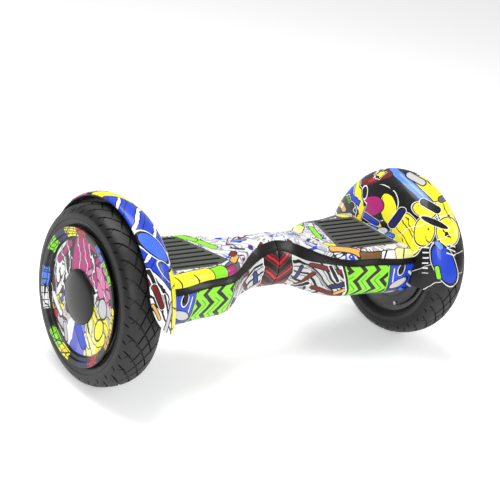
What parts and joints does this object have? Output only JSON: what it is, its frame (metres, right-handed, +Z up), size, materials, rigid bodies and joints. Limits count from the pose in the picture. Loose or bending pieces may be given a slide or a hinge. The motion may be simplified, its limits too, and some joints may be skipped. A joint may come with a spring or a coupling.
{
  "type": "self balancing board",
  "caption": "Two-wheeled self-balancing board: printed shells that twist at a narrow waist, ribbed foot mats, hub-motor wheels with tyres and wide fenders.",
  "frame": {"origin": "on the floor, midway between the two wheels", "axes": "+X along the board to the right wheel, -Y to the front, +Z up"},
  "size_m": [0.643, 0.2824, 0.269],
  "materials": {
    "printed_shell": "glossy printed film over moulded plastic",
    "printed_disc": "glossy printed film over moulded plastic",
    "black_trim": "satin black moulding",
    "gloss_black": "satin to gloss black moulding",
    "mat_rubber": "dull grey ribbed rubber",
    "black_rubber": "soft black rubber",
    "tyre": "black tyre rubber",
    "inner_tube": "smooth black butyl",
    "cast_alloy": "bead blasted casting",
    "hub_black": "satin black paint",
    "steel": "turned",
    "dark_steel": "black oxide",
    "bearing_steel": "ground",
    "lamination": "stacked laminations",
    "copper": "enamelled copper wire",
    "magnet": "nickel plated",
    "bronze": "sintered bronze",
    "circuit_board": "green solder mask",
    "battery_wrap": "blue shrink wrap",
    "cable_black": "black sheath"
  },
  "bodies": {
    "left_half": {"left_frame": "cast_alloy", "left_axle_clamp": "cast_alloy", "left_clamp_bolts": "dark_steel", "left_axle": "steel", "left_stator": "lamination", "left_windings": "copper", "left_motor_cable": "cable_black", "left_top_cover": "printed_shell", "left_bottom_cover": "printed_shell", "left_bumper_front": "black_trim", "left_bumper_rear": "black_trim", "left_fender": "printed_shell", "left_sensor_board": "circuit_board", "left_screws": "dark_steel", "pivot_tube": "steel", "pivot_clips": "dark_steel", "main_board": "circuit_board", "charge_socket": "gloss_black"},
    "right_half": {"right_frame": "cast_alloy", "right_axle_clamp": "cast_alloy", "right_clamp_bolts": "dark_steel", "right_axle": "steel", "right_stator": "lamination", "right_windings": "copper", "right_motor_cable": "cable_black", "right_top_cover": "printed_shell", "right_bottom_cover": "printed_shell", "right_bumper_front": "black_trim", "right_bumper_rear": "black_trim", "right_fender": "printed_shell", "right_sensor_board": "circuit_board", "right_screws": "dark_steel", "pivot_bushes": "bronze", "battery": "battery_wrap"},
    "left_wheel": {"left_tyre": "tyre", "left_tube": "inner_tube", "left_valve": "black_rubber", "left_hub": "hub_black", "left_magnets": "magnet", "left_motor_cover": "hub_black", "left_wheel_disc": "printed_disc", "left_hub_cap": "gloss_black", "left_bearings": "bearing_steel", "left_cover_bolts": "steel"},
    "right_wheel": {"right_tyre": "tyre", "right_tube": "inner_tube", "right_valve": "black_rubber", "right_hub": "hub_black", "right_magnets": "magnet", "right_motor_cover": "hub_black", "right_wheel_disc": "printed_disc", "right_hub_cap": "gloss_black", "right_bearings": "bearing_steel", "right_cover_bolts": "steel"},
    "left_foot_mat": {"left_mat": "mat_rubber"},
    "right_foot_mat": {"right_mat": "mat_rubber"},
    "power_button": {"power_button": "gloss_black"},
    "charge_cap": {"charge_cap": "black_rubber"}
  },
  "joints": [
    {"name": "centre_swivel", "type": "hinge", "parent": "left_half", "child": "right_half", "pos_m": [0, 0, 0.148], "axis": [1, 0, 0], "range_deg": [-12, 12]},
    {"name": "left_wheel_spin", "type": "hinge", "parent": "left_half", "child": "left_wheel", "pos_m": [-0.284, 0, 0.127], "axis": [1, 0, 0], "continuous": true},
    {"name": "right_wheel_spin", "type": "hinge", "parent": "right_half", "child": "right_wheel", "pos_m": [0.284, 0, 0.127], "axis": [1, 0, 0], "continuous": true},
    {"name": "left_mat_press", "type": "slide", "parent": "left_half", "child": "left_foot_mat", "axis": [0, 0, 1], "range_m": [-0.002, 0], "stiffness_N_per_m": 8000, "springref_m": 0.001},
    {"name": "right_mat_press", "type": "slide", "parent": "right_half", "child": "right_foot_mat", "axis": [0, 0, 1], "range_m": [-0.002, 0], "stiffness_N_per_m": 8000, "springref_m": 0.001},
    {"name": "power_button_press", "type": "slide", "parent": "left_half", "child": "power_button", "axis": [0, -1, 0], "range_m": [0, 0.0015], "stiffness_N_per_m": 500, "springref_m": -0.001},
    {"name": "charge_cap_hinge", "type": "hinge", "parent": "left_half", "child": "charge_cap", "pos_m": [-0.216, 0.0919, 0.149], "axis": [1, 0, 0], "range_deg": [0, 150]}
  ]
}
